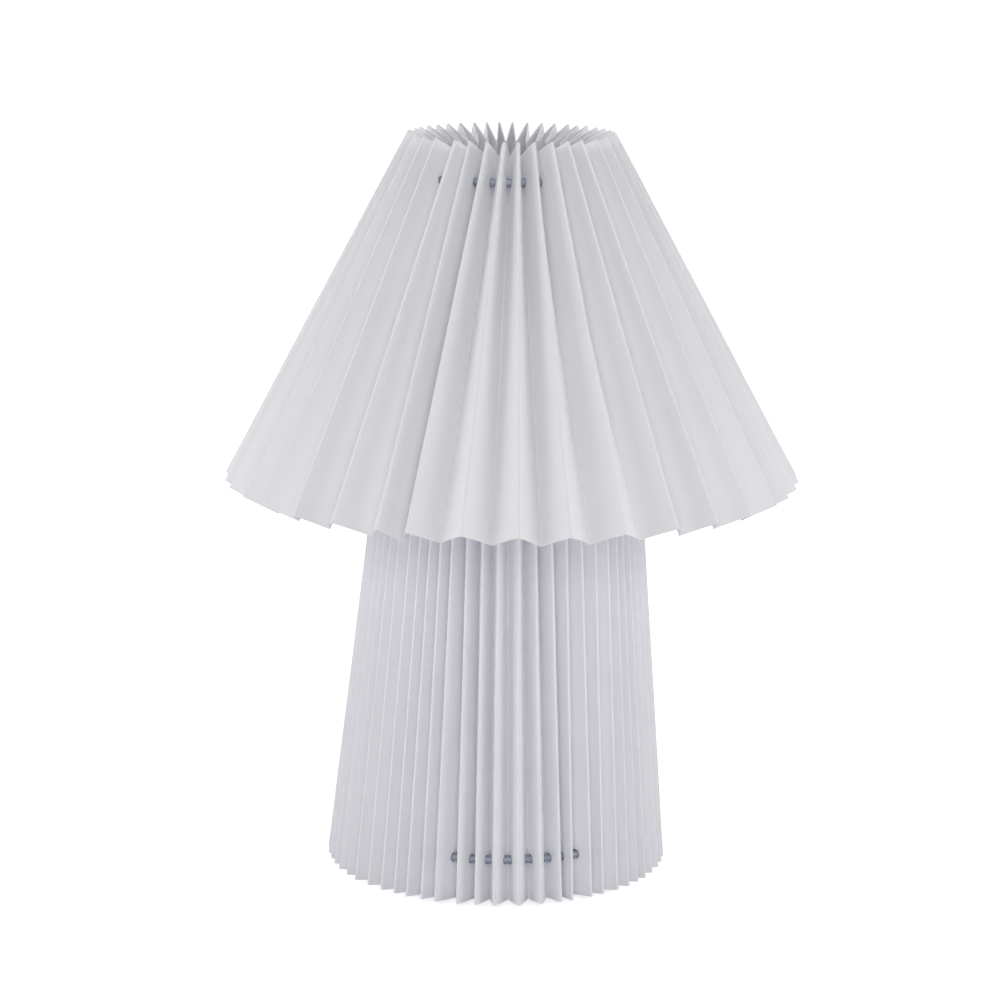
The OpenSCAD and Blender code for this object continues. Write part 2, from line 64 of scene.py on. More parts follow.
def makeCamera(settings):
    pitch = math.radians(settings["pitch"])
    roll = math.radians(settings["roll"])
    ahead = Vector((0, math.cos(pitch), -math.sin(pitch)))
    upright = Vector((0, math.sin(pitch), math.cos(pitch)))
    level = Vector((1, 0, 0))
    right = level * math.cos(roll) + upright * math.sin(roll)
    up = upright * math.cos(roll) - level * math.sin(roll)
    place = Vector((settings["aside"], -settings["distance"], settings["height"]))
    data = bpy.data.cameras.new("photoCamera")
    data.lens = settings["lens"]
    data.sensor_width = settings["sensor"]
    data.clip_end = settings["farthest"]
    camera = bpy.data.objects.new("photoCamera", data)
    axes = Matrix((right, up, -ahead)).transposed()
    camera.matrix_world = Matrix.Translation(place) @ axes.to_4x4()
    scene.collection.objects.link(camera)
    scene.camera = camera


makeCamera(cameraSettings)
print("camera placed")


# Small helpers for node trees, used by the room, the materials and the shape tree
def feed(tree, socket, value):
    if isinstance(value, bpy.types.NodeSocket):
        tree.links.new(value, socket)
    else:
        socket.default_value = value


def calc(tree, operation, *values):
    node = tree.nodes.new("ShaderNodeMath")
    node.operation = operation
    for socket, value in zip(node.inputs, values):
        feed(tree, socket, value)
    return node.outputs[0]


def vectorCalc(tree, operation, first, second):
    node = tree.nodes.new("ShaderNodeVectorMath")
    node.operation = operation
    feed(tree, node.inputs[0], first)
    feed(tree, node.inputs["Scale" if operation == "SCALE" else 1], second)
    return node.outputs["Value" if operation in ("LENGTH", "DISTANCE") else "Vector"]


# Mixes two colours, each a plain (red, green, blue) or a socket
def mixColours(tree, factor, first, second):
    node = tree.nodes.new("ShaderNodeMix")
    node.data_type = "RGBA"
    feed(tree, node.inputs["Factor"], factor)
    for socket, colour in zip(node.inputs[6:8], (first, second)):
        feed(tree, socket, (*colour, 1) if isinstance(colour, tuple) else colour)
    return node.outputs[2]


def toned(colour, share):
    return tuple(channel * share for channel in colour)


def noise(tree, coordinates, scale, detail=3.0, roughness=0.5):
    node = tree.nodes.new("ShaderNodeTexNoise")
    tree.links.new(coordinates, node.inputs["Vector"])
    node.inputs["Scale"].default_value = scale
    node.inputs["Detail"].default_value = detail
    node.inputs["Roughness"].default_value = roughness
    return node.outputs["Fac"]


def stretched(tree, coordinates, scale):
    node = tree.nodes.new("ShaderNodeMapping")
    tree.links.new(coordinates, node.inputs["Vector"])
    node.inputs["Scale"].default_value = scale
    return node.outputs["Vector"]


def ramp(tree, value, low, high, start=0.0, end=1.0):
    node = tree.nodes.new("ShaderNodeMapRange")
    node.interpolation_type = "SMOOTHSTEP"
    tree.links.new(value, node.inputs["Value"])
    node.inputs["From Min"].default_value = low
    node.inputs["From Max"].default_value = high
    node.inputs["To Min"].default_value = start
    node.inputs["To Max"].default_value = end
    return node.outputs["Result"]


def objectCoordinates(tree):
    return tree.nodes.new("ShaderNodeTexCoord").outputs["Object"]


def startMaterial(name, colour):
    material = bpy.data.materials.new(name)
    material.use_nodes = True
    material.diffuse_color = (*colour, 1)
    tree = material.node_tree
    shader = tree.nodes["Principled BSDF"]
    shader.inputs["Base Color"].default_value = (*colour, 1)
    return material, tree, shader


def setSurface(tree, result):
    tree.links.new(result, tree.nodes["Material Output"].inputs["Surface"])


# Soft studio light: a tall box before the lamp, a pair at each other turn and one overhead
lightSettings = {
    # degrees from the camera, metres away, watts of each box
    "boxes": [(0, 1.9, 9.0), (60, 1.5, 7.0), (90, 1.5, 4.6), (160, 1.5, 8.5)],
    "height": 0.45,
    "overheadHeight": 1.7,
    "overheadPower": 5.0,
    "size": (0.9, 1.4),
    "aim": (0, 0, 0.2),
    "boxColour": (1.0, 0.995, 1.0),
    "roomColour": (0.98, 0.98, 1.0),
    "roomStrength": 0.15,
    "bounces": 24,  # white folds pass light on many times
}


def addSoftbox(name, place, s, power):
    data = bpy.data.lights.new(name, "AREA")
    data.shape = "RECTANGLE"
    data.size, data.size_y = s["size"]
    data.energy = power
    data.color = s["boxColour"]
    light = bpy.data.objects.new(name, data)
    facing = (Vector(s["aim"]) - place).to_track_quat("-Z", "Y")
    light.matrix_world = Matrix.Translation(place) @ facing.to_matrix().to_4x4()
    scene.collection.objects.link(light)


def makeLights(s):
    for turn, distance, power in s["boxes"]:
        for side in (-1, 1) if turn else (1,):
            angle = math.radians(turn) * side
            place = Vector((math.sin(angle) * distance, -math.cos(angle) * distance, s["height"]))
            addSoftbox("softbox", place, s, power)
    addSoftbox("overhead", Vector((0, 0, s["overheadHeight"])), s, s["overheadPower"])
    scene.cycles.max_bounces = s["bounces"]
    scene.cycles.diffuse_bounces = s["bounces"]


# The camera, metal and glass see a white room; the lamp is lit by the room's own colour
def makeRoom(s):
    world = bpy.data.worlds.new("paleRoom")
    world.use_nodes = True
    tree = world.node_tree
    tree.nodes.clear()
    rays = tree.nodes.new("ShaderNodeLightPath").outputs
    seen = calc(tree, "MAXIMUM", rays["Is Camera Ray"], rays["Is Glossy Ray"])
    seen = calc(tree, "MAXIMUM", seen, rays["Is Transmission Ray"])
    mix = tree.nodes.new("ShaderNodeMixShader")
    tree.links.new(seen, mix.inputs[0])
    white = (1, 1, 1)
    for socket, colour, strength in zip(mix.inputs[1:], (s["roomColour"], white),
                                        (s["roomStrength"], 1)):
        light = tree.nodes.new("ShaderNodeBackground")
        light.inputs["Color"].default_value = (*colour, 1)
        light.inputs["Strength"].default_value = strength
        tree.links.new(light.outputs[0], socket)
    output = tree.nodes.new("ShaderNodeOutputWorld")
    tree.links.new(mix.outputs[0], output.inputs["Surface"])
    scene.world = world


makeLights(lightSettings)
makeRoom(lightSettings)
scene.view_settings.view_transform = "Standard"
print("lights and room made")


# Fine relief, without which a surface looks too clean
def emboss(tree, shader, height, strength, depth):
    node = tree.nodes.new("ShaderNodeBump")
    node.inputs["Strength"].default_value = strength
    node.inputs["Distance"].default_value = depth
    tree.links.new(height, node.inputs["Height"])
    tree.links.new(node.outputs["Normal"], shader.inputs["Normal"])


def varyRoughness(tree, shader, pattern, roughness, smoother, rougher, low=0.3, high=0.7):
    level = ramp(tree, pattern, low, high, roughness - smoother, roughness + rougher)
    tree.links.new(level, shader.inputs["Roughness"])


# A share of the light goes through and shows on the far side
def passLight(tree, shader, tone, share):
    glow = tree.nodes.new("ShaderNodeBsdfTranslucent")
    tree.links.new(tone, glow.inputs["Color"])
    mix = tree.nodes.new("ShaderNodeMixShader")
    mix.inputs[0].default_value = share
    tree.links.new(shader.outputs[0], mix.inputs[1])
    tree.links.new(glow.outputs[0], mix.inputs[2])
    setSurface(tree, mix.outputs[0])


# White laminated paper: cloudy, with pale fibres, pressed outer folds a little darker, painted shade
# along the valleys, and some light passed through; its map is the flat strip in metres
def makePaper(name, s):
    material, tree, shader = startMaterial(name, s["colour"])
    uv = tree.nodes.new("ShaderNodeUVMap")
    uv.uv_map = "strip"
    strip = uv.outputs["UV"]
    split = tree.nodes.new("ShaderNodeSeparateXYZ")
    tree.links.new(strip, split.inputs[0])
    across = calc(tree, "PINGPONG", split.outputs["X"], s["panelWidth"])
    outerFold = ramp(tree, across, 0, s["creaseWidth"], 1, 0)
    # a thin line along each valley, where the painted shade goes
    valleyShadeMask = ramp(tree, across, s["panelWidth"] - s["creaseWidth"], s["panelWidth"])
    cloud = noise(tree, strip, scale=26, detail=4, roughness=0.6)
    fibres = noise(tree, stretched(tree, strip, (1.0, 0.3, 1.0)), scale=1500, detail=5, roughness=0.65)
    scuffs = noise(tree, stretched(tree, strip, (1.0, 0.12, 1.0)), scale=90, detail=3, roughness=0.6)
    tone = mixColours(tree, ramp(tree, cloud, low=0.35, high=0.7), s["colour"], s["cloudColour"])
    showing = calc(tree, "MULTIPLY", ramp(tree, fibres, low=0.5, high=0.85), s["fibreShare"])
    tone = mixColours(tree, showing, tone, s["fibreColour"])
    pressed = ramp(tree, scuffs, low=0.2, high=0.6, start=s["faintestFold"], end=1)
    tone = mixColours(tree, calc(tree, "MULTIPLY", outerFold, pressed), tone, s["creaseAndValleyShadeColour"])
    # painted shade: a share of the darker crease colour laid along each valley
    tone = mixColours(tree, calc(tree, "MULTIPLY", valleyShadeMask, s["valleyShadeShare"]), tone, s["creaseAndValleyShadeColour"])
    tree.links.new(tone, shader.inputs["Base Color"])
    varyRoughness(tree, shader, scuffs, s["roughness"], smoother=0.05, rougher=0.06)
    shader.inputs["Specular IOR Level"].default_value = s["specular"]
    emboss(tree, shader, fibres, strength=0.25, depth=0.00004)
    passLight(tree, shader, tone, s["glow"])
    return material


# Painted wire and sheet: a fine orange peel, with the metal showing at rubbed places
def makeCoated(name, colour, under, roughness, metallic=0.0):
    material, tree, shader = startMaterial(name, colour)
    place = objectCoordinates(tree)
    wear = noise(tree, place, scale=160, detail=4, roughness=0.7)
    streaks = noise(tree, place, scale=40, detail=2)
    tone = mixColours(tree, streaks, colour, toned(colour, 0.93))
    rubbed = ramp(tree, wear, low=0.72, high=0.76)
    tree.links.new(mixColours(tree, rubbed, tone, under), shader.inputs["Base Color"])
    varyRoughness(tree, shader, streaks, roughness, smoother=0.06, rougher=0.06)
    shader.inputs["Metallic"].default_value = metallic
    emboss(tree, shader, noise(tree, place, scale=900, detail=2), strength=0.2, depth=0.00006)
    return material


# Moulded plastic, glass, rubber or ceramic: faint flow marks and a fine grain
def makeMoulded(name, colour, roughness, speckle=0.04, grain=1400, specular=0.5):
    material, tree, shader = startMaterial(name, colour)
    place = objectCoordinates(tree)
    flow = noise(tree, stretched(tree, place, (1, 1, 0.2)), scale=55, detail=3)
    tree.links.new(mixColours(tree, flow, colour, toned(colour, 1 - speckle)),
                   shader.inputs["Base Color"])
    varyRoughness(tree, shader, flow, roughness, smoother=0.05, rougher=0.07, high=0.75)
    shader.inputs["Specular IOR Level"].default_value = specular
    emboss(tree, shader, noise(tree, place, scale=grain, detail=3), strength=0.15, depth=0.00004)
    return material


# Turned or rolled metal: fine rings round the axis and slight tarnish
def makeTurned(name, colour, tarnish, roughness):
    material, tree, shader = startMaterial(name, colour)
    place = objectCoordinates(tree)
    rings = noise(tree, stretched(tree, place, (0.15, 0.15, 1)), scale=2600, detail=2)
    blotches = noise(tree, place, scale=120, detail=4, roughness=0.65)
    tarnished = ramp(tree, blotches, low=0.45, high=0.75)
    tree.links.new(mixColours(tree, tarnished, colour, tarnish), shader.inputs["Base Color"])
    shader.inputs["Metallic"].default_value = 1.0
    varyRoughness(tree, shader, blotches, roughness, smoother=0.08, rougher=0.1)
    emboss(tree, shader, rings, strength=0.12, depth=0.00003)
    return material


# Cast plate under black lacquer, a little rough
def makeCast(name, colour, worn, roughness):
    material, tree, shader = startMaterial(name, colour)
    place = objectCoordinates(tree)
    pits = noise(tree, place, scale=520, detail=5, roughness=0.7)
    patches = noise(tree, place, scale=45, detail=4)
    tone = mixColours(tree, ramp(tree, patches, low=0.35, high=0.7), colour, toned(colour, 1.35))
    bare = ramp(tree, pits, low=0.68, high=0.74)
    tree.links.new(mixColours(tree, bare, tone, worn), shader.inputs["Base Color"])
    varyRoughness(tree, shader, patches, roughness, smoother=0.1, rougher=0.1)
    emboss(tree, shader, pits, strength=0.5, depth=0.00025)
    return material


# Opal glass of the unlit bulb: milky and glossy, with light passing softly
def makeOpal(name, colour, roughness, coat, glow):
    material, tree, shader = startMaterial(name, colour)
    milk = noise(tree, objectCoordinates(tree), scale=30, detail=2)
    tone = mixColours(tree, milk, colour, toned(colour, 0.97))
    tree.links.new(tone, shader.inputs["Base Color"])
    shader.inputs["Roughness"].default_value = roughness
    shader.inputs["Coat Weight"].default_value = coat
    passLight(tree, shader, tone, glow)
    return material


# Width of a panel from fold to fold, which the paper's pattern and the wall both follow
shadePanelWidth = 0.020
skirtPanelWidth = 0.015

shadePaperSettings = {
    "colour": (0.945, 0.946, 0.956),
    "cloudColour": (0.935, 0.937, 0.948),
    "fibreColour": (0.97, 0.972, 0.978),
    "fibreShare": 0.3,
    # pressed outer folds are this much darker; a share of the same colour is painted shade in the
    # valleys
    "creaseAndValleyShadeColour": (0.88, 0.88, 0.89),
    "faintestFold": 0.45,  # of an outer fold's colour, where it is pressed least
    # share of that colour painted into each valley as shade
    "valleyShadeShare": 0.35,
    "roughness": 0.58,
    "specular": 0.35,
    "panelWidth": shadePanelWidth,
    "creaseWidth": 0.0004,
    "glow": 0.12,
}
# The skirt's paper is the shade's, painted lighter to offset the shade that the lampshade casts on it,
# and bluer for the cool tint of that shade
skirtPaperPaintedLightSettings = {
    **shadePaperSettings,
    "colour": (0.961, 0.961, 0.979),
    "cloudColour": (0.952, 0.952, 0.971),
    "panelWidth": skirtPanelWidth,
}
paints = {
    "shadePaper": makePaper("shadePaper", shadePaperSettings),
    "skirtPaper": makePaper("skirtPaper", skirtPaperPaintedLightSettings),
    "ringLacquer": makeCoated("ringLacquer", (0.33, 0.36, 0.44), under=(0.55, 0.56, 0.58),
                              roughness=0.42, metallic=0.35),
    "whiteCoat": makeCoated("whiteCoat", (0.80, 0.80, 0.80), under=(0.6, 0.6, 0.6), roughness=0.45),
    "holderPlastic": makeMoulded("holderPlastic", (0.84, 0.84, 0.81), roughness=0.32),
    "bulbHousing": makeMoulded("bulbHousing", (0.86, 0.86, 0.84), roughness=0.4),
    "bushPlastic": makeMoulded("bushPlastic", (0.80, 0.80, 0.80), roughness=0.42),
    "coreCeramic": makeMoulded("coreCeramic", (0.80, 0.78, 0.72), roughness=0.75, speckle=0.1,
                               grain=700, specular=0.3),
    "insulatorGlass": makeMoulded("insulatorGlass", (0.03, 0.03, 0.035), roughness=0.12,
                                  speckle=0.2),
    "padRubber": makeMoulded("padRubber", (0.10, 0.10, 0.105), roughness=0.8, speckle=0.15,
                             grain=500, specular=0.25),
    "bulbOpal": makeOpal("bulbOpal", (0.88, 0.88, 0.86), roughness=0.12, coat=0.4, glow=0.25),
    "nickel": makeTurned("nickel", (0.72, 0.70, 0.66), tarnish=(0.55, 0.53, 0.50), roughness=0.3),
    "zincSteel": makeTurned("zincSteel", (0.66, 0.67, 0.70), tarnish=(0.52, 0.52, 0.54),
                            roughness=0.38),
    "contactBrass": makeTurned("contactBrass", (0.80, 0.62, 0.30), tarnish=(0.60, 0.44, 0.20),
                               roughness=0.3),
    "solder": makeTurned("solder", (0.70, 0.70, 0.68), tarnish=(0.55, 0.55, 0.53), roughness=0.4),
    "plateLacquer": makeCast("plateLacquer", (0.045, 0.045, 0.05), worn=(0.16, 0.15, 0.14),
                             roughness=0.52),
}

# Which pieces wear which finish; the two papers go on the walls that the pleat tree makes
finishes = {
    "ringLacquer": ["shade_ring", "upper_ring", "lower_ring"],
    "whiteCoat": ["shade_carrier", "upper_spider", "lower_spider"],
    "holderPlastic": ["shade_nut", "lampholder_shell", "lampholder_cap"],
    "coreCeramic": ["lampholder_core"],
    "bulbOpal": ["bulb_globe"],
    "bulbHousing": ["bulb_collar"],
    "nickel": ["bulb_screw_cap"],
    "insulatorGlass": ["bulb_insulator"],
    "solder": ["bulb_contact"],
    "contactBrass": ["screw_shell", "centre_contact", "side_contact", "terminal_screws"],
    "zincSteel": ["stem_tube", "upper_stem_nut", "plate_nut", "stem_washer", "stem_end_nut"],
    "plateLacquer": ["base_plate"],
    "bushPlastic": ["cable_bush"],
    "padRubber": ["foot_pads"],
}
for finish, names in finishes.items():
    for name in names:
        slots = cadNodes[name].data.materials
        slots.clear()
        slots.append(paints[finish])
print("materials made:", len(paints))


# Helpers for the shape tree
def newShapeTree(name, inputs):
    tree = bpy.data.node_groups.new(name, "GeometryNodeTree")
    tree.interface.new_socket("Geometry", in_out="INPUT", socket_type="NodeSocketGeometry")
    for label, kind in inputs.items():
        tree.interface.new_socket(label, in_out="INPUT", socket_type=f"NodeSocket{kind}")
    tree.interface.new_socket("Geometry", in_out="OUTPUT", socket_type="NodeSocketGeometry")
    entry = tree.nodes.new("NodeGroupInput")
    return tree, entry.outputs


def finishShapeTree(tree, geometry, material):
    realize = tree.nodes.new("GeometryNodeRealizeInstances")
    tree.links.new(geometry, realize.inputs[0])
    paint = tree.nodes.new("GeometryNodeSetMaterial")
    tree.links.new(realize.outputs[0], paint.inputs["Geometry"])
    tree.links.new(material, paint.inputs["Material"])
    output = tree.nodes.new("NodeGroupOutput")
    tree.links.new(paint.outputs[0], output.inputs[0])


def sampled(tree, geometry, attribute, index):
    named = tree.nodes.new("GeometryNodeInputNamedAttribute")
    named.data_type = "FLOAT"
    named.inputs["Name"].default_value = attribute
    node = tree.nodes.new("GeometryNodeSampleIndex")
    node.data_type = "FLOAT"
    node.domain = "POINT"
    node.clamp = True
    tree.links.new(geometry, node.inputs["Geometry"])
    tree.links.new(named.outputs["Attribute"], node.inputs["Value"])
    tree.links.new(index, node.inputs["Index"])
    return node.outputs["Value"]


def combined(tree, x, y, z):
    node = tree.nodes.new("ShaderNodeCombineXYZ")
    for socket, value in zip(node.inputs, (x, y, z)):
        feed(tree, socket, value)
    return node.outputs[0]


def blended(tree, factor, first, second):
    node = tree.nodes.new("ShaderNodeMix")
    node.data_type = "VECTOR"
    node.clamp_factor = False
    feed(tree, node.inputs["Factor"], factor)
    tree.links.new(first, node.inputs[4])
    tree.links.new(second, node.inputs[5])
    return node.outputs[1]


# A flat sheet of faces whose position is later set: returns it and its two coordinates, 0 to 1
def unitSheet(tree, countAcross, countAlong):
    sheet = tree.nodes.new("GeometryNodeMeshGrid")
    sheet.inputs["Size X"].default_value = 1
    sheet.inputs["Size Y"].default_value = 1
    tree.links.new(countAcross, sheet.inputs["Vertices X"])
    tree.links.new(countAlong, sheet.inputs["Vertices Y"])
    position = tree.nodes.new("GeometryNodeInputPosition")
    split = tree.nodes.new("ShaderNodeSeparateXYZ")
    tree.links.new(position.outputs[0], split.inputs[0])
    across = calc(tree, "ADD", split.outputs["X"], 0.5)
    along = calc(tree, "ADD", split.outputs["Y"], 0.5)
    return sheet.outputs["Mesh"], across, along


def storeMap(tree, geometry, u, v):
    store = tree.nodes.new("GeometryNodeStoreNamedAttribute")
    store.data_type = "FLOAT2"
    store.domain = "CORNER"
    store.inputs["Name"].default_value = "strip"
    tree.links.new(geometry, store.inputs["Geometry"])
    tree.links.new(combined(tree, u, v, 0.0), store.inputs["Value"])
    return store.outputs["Geometry"]


def moved(tree, geometry, position):
    node = tree.nodes.new("GeometryNodeSetPosition")
    tree.links.new(geometry, node.inputs["Geometry"])
    tree.links.new(position, node.inputs["Position"])
    return node.outputs["Geometry"]


def welded(tree, geometry, reach):
    node = tree.nodes.new("GeometryNodeMergeByDistance")
    tree.links.new(geometry, node.inputs["Geometry"])
    node.inputs["Distance"].default_value = reach
    return node.outputs["Geometry"]


# What the shade's wall and the skirt's have in common
pleatTreeSettings = {
    "rounding": 0.0001,  # of a pleat, so that a fold's own column never counts as the one before
    "weldReach": 0.000002,
    "flutterScale": 14,
    "flutterDetail": 1,
    "foldFlutter": 0.3,  # share of the paper's flutter that the stiffer folds take
}


# A pleated wall from a row of points, one for each outer fold, that hold its turns. A pleat runs
# from one outer fold over its valley to the next; each panel is as wide as the strip's panels
def makePleatTree(s):
    tree, entry = newShapeTree("pleatedWall", {
        "Pleats": "Int", "Cuts": "Int", "Rows": "Int", "Panel Width": "Float",
        "Foot Radius": "Float", "Top Radius": "Float", "Fold Length": "Float",
        "Foot Height": "Float", "Foot Shift": "Float", "Top Shift": "Float",
        "Foot Valley": "Float", "Top Valley": "Float", "Top Tilt": "Float",
        "Paper": "Float", "Fold Width": "Float", "Bow": "Float", "Flutter": "Float",
        "Seed": "Int", "Material": "Material",
    })
    folds = entry["Geometry"]
    pleats = entry["Pleats"]
    steps = calc(tree, "MULTIPLY", calc(tree, "MULTIPLY", pleats, 2.0), entry["Cuts"])
    sheet, around, along = unitSheet(
        tree, calc(tree, "ADD", steps, 1.0), calc(tree, "ADD", entry["Rows"], 1.0))
    place = calc(tree, "MULTIPLY", around, pleats)
    last = calc(tree, "SUBTRACT", pleats, 1.0)
    # the pleat that a column is in, and how far it is from the outer fold, 0, to the valley, 1
    counted = calc(tree, "FLOOR", calc(tree, "ADD", place, s["rounding"]))
    pleat = calc(tree, "MINIMUM", counted, last)
    part = calc(tree, "SUBTRACT", place, pleat)
    second = calc(tree, "GREATER_THAN", part, 0.5)
    centred = calc(tree, "ABSOLUTE", calc(tree, "MULTIPLY_ADD", part, 2.0, -1.0))
    even = calc(tree, "SUBTRACT", 1.0, centred)
    wave = calc(tree, "COSINE", calc(tree, "MULTIPLY", even, math.pi))
    across = calc(tree, "MULTIPLY_ADD", wave, -0.5, 0.5)
    following = calc(tree, "ADD", pleat, 1.0)
    nearest = calc(tree, "ADD", pleat, second)
    # how far the folds lean in from plumb
    leanSine = calc(tree, "DIVIDE",
                    calc(tree, "SUBTRACT", entry["Foot Radius"], entry["Top Radius"]),
                    entry["Fold Length"])
    leanCosine = calc(tree, "SQRT",
                      calc(tree, "SUBTRACT", 1.0, calc(tree, "MULTIPLY", leanSine, leanSine)))
    topHeight = calc(tree, "MULTIPLY_ADD", entry["Fold Length"], leanCosine, entry["Foot Height"])
    skew = sampled(tree, folds, "skew", pleat)

    # where an outer fold ends, at the foot or at the top
    def foldPoint(end, index):
        turn = sampled(tree, folds, end + "Turn", index)
        radius = calc(tree, "ADD", entry[end.title() + " Radius"],
                      sampled(tree, folds, end + "Swell", index))
        sine, cosine = calc(tree, "SINE", turn), calc(tree, "COSINE", turn)
        x = calc(tree, "MULTIPLY_ADD", radius, sine, entry[end.title() + " Shift"])
        y = calc(tree, "MULTIPLY", radius, calc(tree, "MULTIPLY", cosine, -1.0))
        rise = calc(tree, "SUBTRACT", 1.0, cosine)
        tilted = calc(tree, "MULTIPLY_ADD", rise, entry["Top Tilt"], topHeight)
        height = entry["Foot Height"] if end == "foot" else tilted
        return combined(tree, x, y, height)

    # straight out from the slope of the wall
    def outwardAt(turn):
        x = calc(tree, "MULTIPLY", leanCosine, calc(tree, "SINE", turn))
        y = calc(tree, "MULTIPLY", calc(tree, "MULTIPLY", leanCosine, -1.0),
                 calc(tree, "COSINE", turn))
        return combined(tree, x, y, leanSine)

    def outward(end):
        both = calc(tree, "ADD", sampled(tree, folds, end + "Turn", pleat),
                    sampled(tree, folds, end + "Turn", following))
        return outwardAt(calc(tree, "MULTIPLY_ADD", both, 0.5, skew))

    # a valley stands in from the middle of its two folds, as deep as the panels' width lets it
    def valleyPoint(end):
        one, two = foldPoint(end, pleat), foldPoint(end, following)
        half = calc(tree, "MULTIPLY", vectorCalc(tree, "DISTANCE", one, two), 0.5)
        width = entry["Panel Width"]
        depth = calc(tree, "SQRT", calc(tree, "SUBTRACT", calc(tree, "MULTIPLY", width, width),
                                        calc(tree, "MULTIPLY", half, half)))
        inward = vectorCalc(tree, "SCALE", outward(end), calc(tree, "MULTIPLY", depth, -1.0))
        aside = combined(tree, entry[end.title() + " Valley"], 0.0, 0.0)
        middle = vectorCalc(tree, "ADD", blended(tree, 0.5, one, two), aside)
        return vectorCalc(tree, "ADD", middle, inward)

    # a fold is pressed flat, as wide as its two panels need side by side, and stays on its radius
    radiusHere = calc(tree, "MULTIPLY_ADD", along,
                      calc(tree, "SUBTRACT", entry["Top Radius"], entry["Foot Radius"]),
                      entry["Foot Radius"])
    outerRoom = calc(tree, "DIVIDE", calc(tree, "MULTIPLY", radiusHere, math.pi), pleats)
    reach = calc(tree, "MULTIPLY", entry["Panel Width"], leanCosine)
    innerRoom = calc(tree, "MULTIPLY", outerRoom,
                     calc(tree, "SUBTRACT", 1.0, calc(tree, "DIVIDE", reach, radiusHere)))
    outerEdge = calc(tree, "DIVIDE", entry["Fold Width"], innerRoom)
    innerEdge = calc(tree, "DIVIDE", entry["Fold Width"], outerRoom)
    push = calc(tree, "MULTIPLY_ADD", outerEdge, entry["Panel Width"],
                calc(tree, "MULTIPLY", entry["Paper"], -0.5))
    ridgeFacing = blended(tree, along, outwardAt(sampled(tree, folds, "footTurn", nearest)),
                          outwardAt(sampled(tree, folds, "topTurn", nearest)))
    ridge = vectorCalc(tree, "ADD",
                       blended(tree, along, foldPoint("foot", nearest), foldPoint("top", nearest)),
                       vectorCalc(tree, "SCALE", ridgeFacing, push))
    valley = blended(tree, along, valleyPoint("foot"), valleyPoint("top"))
    pressed = calc(tree, "MINIMUM", calc(tree, "MAXIMUM", across, outerEdge),
                   calc(tree, "SUBTRACT", 1.0, innerEdge))
    flat = blended(tree, pressed, ridge, valley)
    # between its folds a panel bows a little, and the paper flutters all over
    inside = calc(tree, "SINE", calc(tree, "MULTIPLY", pressed, math.pi))
    field = tree.nodes.new("ShaderNodeTexNoise")
    field.noise_dimensions = "4D"
    tree.links.new(flat, field.inputs["Vector"])
    tree.links.new(entry["Seed"], field.inputs["W"])
    field.inputs["Scale"].default_value = s["flutterScale"]
    field.inputs["Detail"].default_value = s["flutterDetail"]
    drift = calc(tree, "MULTIPLY", calc(tree, "SUBTRACT", field.outputs["Fac"], 0.5),
                 entry["Flutter"])
    loose = calc(tree, "MULTIPLY_ADD", inside, 1 - s["foldFlutter"], s["foldFlutter"])
    swell = calc(tree, "MULTIPLY_ADD", inside, entry["Bow"], calc(tree, "MULTIPLY", drift, loose))
    facing = blended(tree, along, outward("foot"), outward("top"))
    final = vectorCalc(tree, "ADD", flat, vectorCalc(tree, "SCALE", facing, swell))
    # the map unrolls the strip: past a valley the way back out counts on
    wayBack = calc(tree, "MULTIPLY", second, calc(tree, "MULTIPLY_ADD", across, -2.0, 2.0))
    panels = calc(tree, "MULTIPLY_ADD", pleat, 2.0, calc(tree, "ADD", across, wayBack))
    u = calc(tree, "MULTIPLY", panels, entry["Panel Width"])
    v = calc(tree, "MULTIPLY", along, entry["Fold Length"])
    mapped = storeMap(tree, sheet, u, v)
    wall = welded(tree, moved(tree, mapped, final), s["weldReach"])
    finishShapeTree(tree, wall, entry["Material"])
    return tree


# A row of points that hold each fold's numbers for the tree
def guidePoints(name, attributes, spacing=0.001):
    count = len(next(iter(attributes.values())))
    mesh = bpy.data.meshes.new(name)
    mesh.from_pydata([(0, 0, i * spacing) for i in range(count)], [], [])
    for label, values in attributes.items():
        layer = mesh.attributes.new(label, "FLOAT", "POINT")
        layer.data.foreach_set("value", values)
    guide = bpy.data.objects.new(name, mesh)
    scene.collection.objects.link(guide)
    return guide


def growShape(guide, tree, values):
    modifier = guide.modifiers.new("shape", "NODES")
    modifier.node_group = tree
    for item in tree.interface.items_tree:
        if item.in_out == "INPUT" and item.name in values:
            modifier[item.identifier] = values[item.name]


def faceOutwards(mesh):
    build = bmesh.new()
    build.from_mesh(mesh)
    bmesh.ops.recalc_face_normals(build, faces=build.faces)
    build.to_mesh(mesh)
    build.free()


# The evaluated shape as a plain mesh; the guide and its modifiers go
def settle(guide, name, sharpAngle):
    graph = bpy.context.evaluated_depsgraph_get()
    mesh = bpy.data.meshes.new_from_object(guide.evaluated_get(graph))
    mesh.name = name
    piece = bpy.data.objects.new(name, mesh)
    scene.collection.objects.link(piece)
    bpy.data.objects.remove(guide)
    faceOutwards(mesh)
    mesh.polygons.foreach_set("use_smooth", [True] * len(mesh.polygons))
    mesh.set_sharp_from_angle(angle=math.radians(sharpAngle))
    return piece


def addPiece(piece, body, slot, *nodes):
    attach(piece, body)
    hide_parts(*nodes)
    print("made", piece.name, len(piece.data.polygons), "faces")
